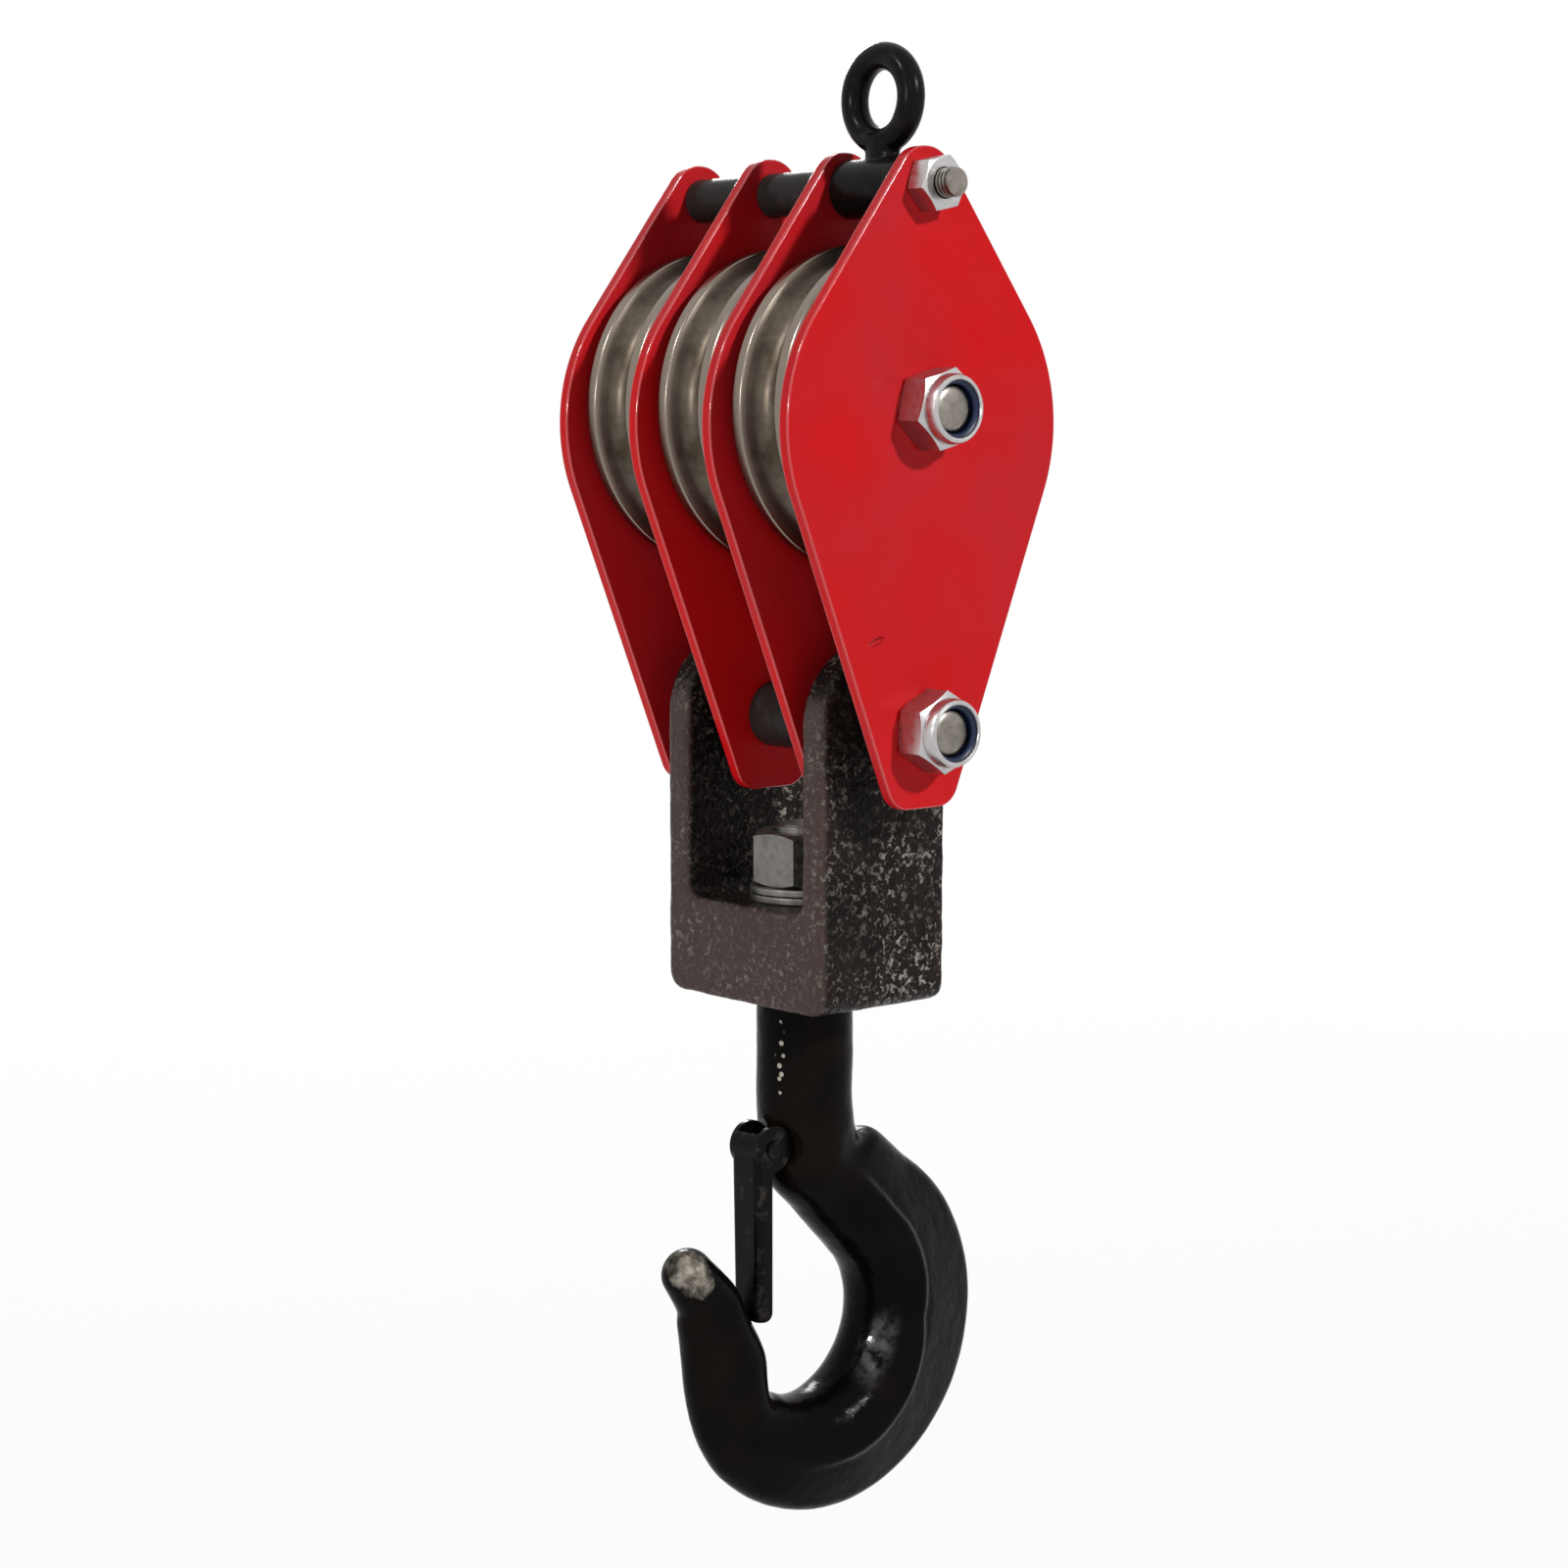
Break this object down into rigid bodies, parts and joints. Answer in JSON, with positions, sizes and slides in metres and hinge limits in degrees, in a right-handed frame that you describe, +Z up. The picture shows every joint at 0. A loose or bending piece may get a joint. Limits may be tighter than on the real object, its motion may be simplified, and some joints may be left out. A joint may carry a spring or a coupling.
{
  "type": "triple pulley block",
  "caption": "Pulley block with rope sheaves between red cheek plates, a becket eye above and a swivel hook with a spring latch below.",
  "frame": {"origin": "centre of the middle sheave, on the axle", "axes": "+Z up toward the becket eye, Y along the axle, X across the cheek plates with the hook's tip toward -X"},
  "size_m": [0.1383, 0.146, 0.5061],
  "materials": {
    "red_paint": "gloss",
    "turned_steel": "turned",
    "bronze": "machined",
    "ground_steel": "ground",
    "zinc_plate": "bright zinc",
    "nylon": "satin",
    "black_oxide": "satin",
    "black_forging": "satin",
    "black_casting": "cast, painted",
    "bare_steel": "dull",
    "black_sheet": "satin",
    "spring_steel": "drawn"
  },
  "bodies": {
    "becket": {"becket_eye": "black_forging"},
    "frame": {"cheek_plate_1": "red_paint", "cheek_plate_2": "red_paint", "cheek_plate_3": "red_paint", "cheek_plate_4": "red_paint", "axle_sleeve_1": "ground_steel", "axle_sleeve_2": "ground_steel", "axle_sleeve_3": "ground_steel", "thrust_pair_1": "ground_steel", "thrust_pair_2": "ground_steel", "thrust_pair_3": "ground_steel", "axle_bolt": "zinc_plate", "axle_nut": "zinc_plate", "yoke_bolt": "zinc_plate", "yoke_nut": "zinc_plate", "top_bolt": "zinc_plate", "top_nut": "zinc_plate", "axle_nut_insert": "nylon", "yoke_nut_insert": "nylon", "middle_spacer": "black_oxide", "yoke_spacer_1": "black_oxide", "yoke_spacer_2": "black_oxide", "yoke_spacer_3": "black_oxide", "yoke_spacer_4": "black_oxide", "top_spacer_1": "black_oxide", "top_spacer_2": "black_oxide"},
    "sheave_1": {"sheave_1": "turned_steel", "sheave_bush_1": "bronze"},
    "sheave_2": {"sheave_2": "turned_steel", "sheave_bush_2": "bronze"},
    "sheave_3": {"sheave_3": "turned_steel", "sheave_bush_3": "bronze"},
    "yoke": {"yoke": "black_casting", "hook_washer_lower": "bare_steel"},
    "hook": {"hook": "black_forging", "hook_nut": "bare_steel", "hook_nut_pin": "bare_steel", "hook_washer_upper": "bare_steel", "latch_pin": "black_sheet"},
    "latch": {"latch": "black_sheet", "latch_spring": "spring_steel"}
  },
  "joints": [
    {"name": "becket_swing", "type": "hinge", "parent": "becket", "child": "frame", "pos_m": [0, -0.0385, 0.072], "axis": [0, 1, 0], "range_deg": [-90, 90]},
    {"name": "sheave_1_spin", "type": "hinge", "parent": "frame", "child": "sheave_1", "pos_m": [0, -0.0385, 0], "axis": [0, 1, 0], "continuous": true},
    {"name": "sheave_2_spin", "type": "hinge", "parent": "frame", "child": "sheave_2", "pos_m": [0, 0, 0], "axis": [0, 1, 0], "continuous": true},
    {"name": "sheave_3_spin", "type": "hinge", "parent": "frame", "child": "sheave_3", "pos_m": [0, 0.0385, 0], "axis": [0, 1, 0], "continuous": true},
    {"name": "yoke_swing", "type": "hinge", "parent": "frame", "child": "yoke", "pos_m": [0, 0, -0.105], "axis": [0, 1, 0], "range_deg": [-90, 90]},
    {"name": "hook_swivel", "type": "hinge", "parent": "yoke", "child": "hook", "pos_m": [0, 0, -0.2015], "axis": [0, 0, 1], "continuous": true},
    {"name": "latch_hinge", "type": "hinge", "parent": "hook", "child": "latch", "pos_m": [-0.02, 0, -0.2523], "axis": [0, -1, 0], "range_deg": [0, 30], "stiffness_Nm_per_rad": 0.06, "springref_deg": -34.38}
  ]
}
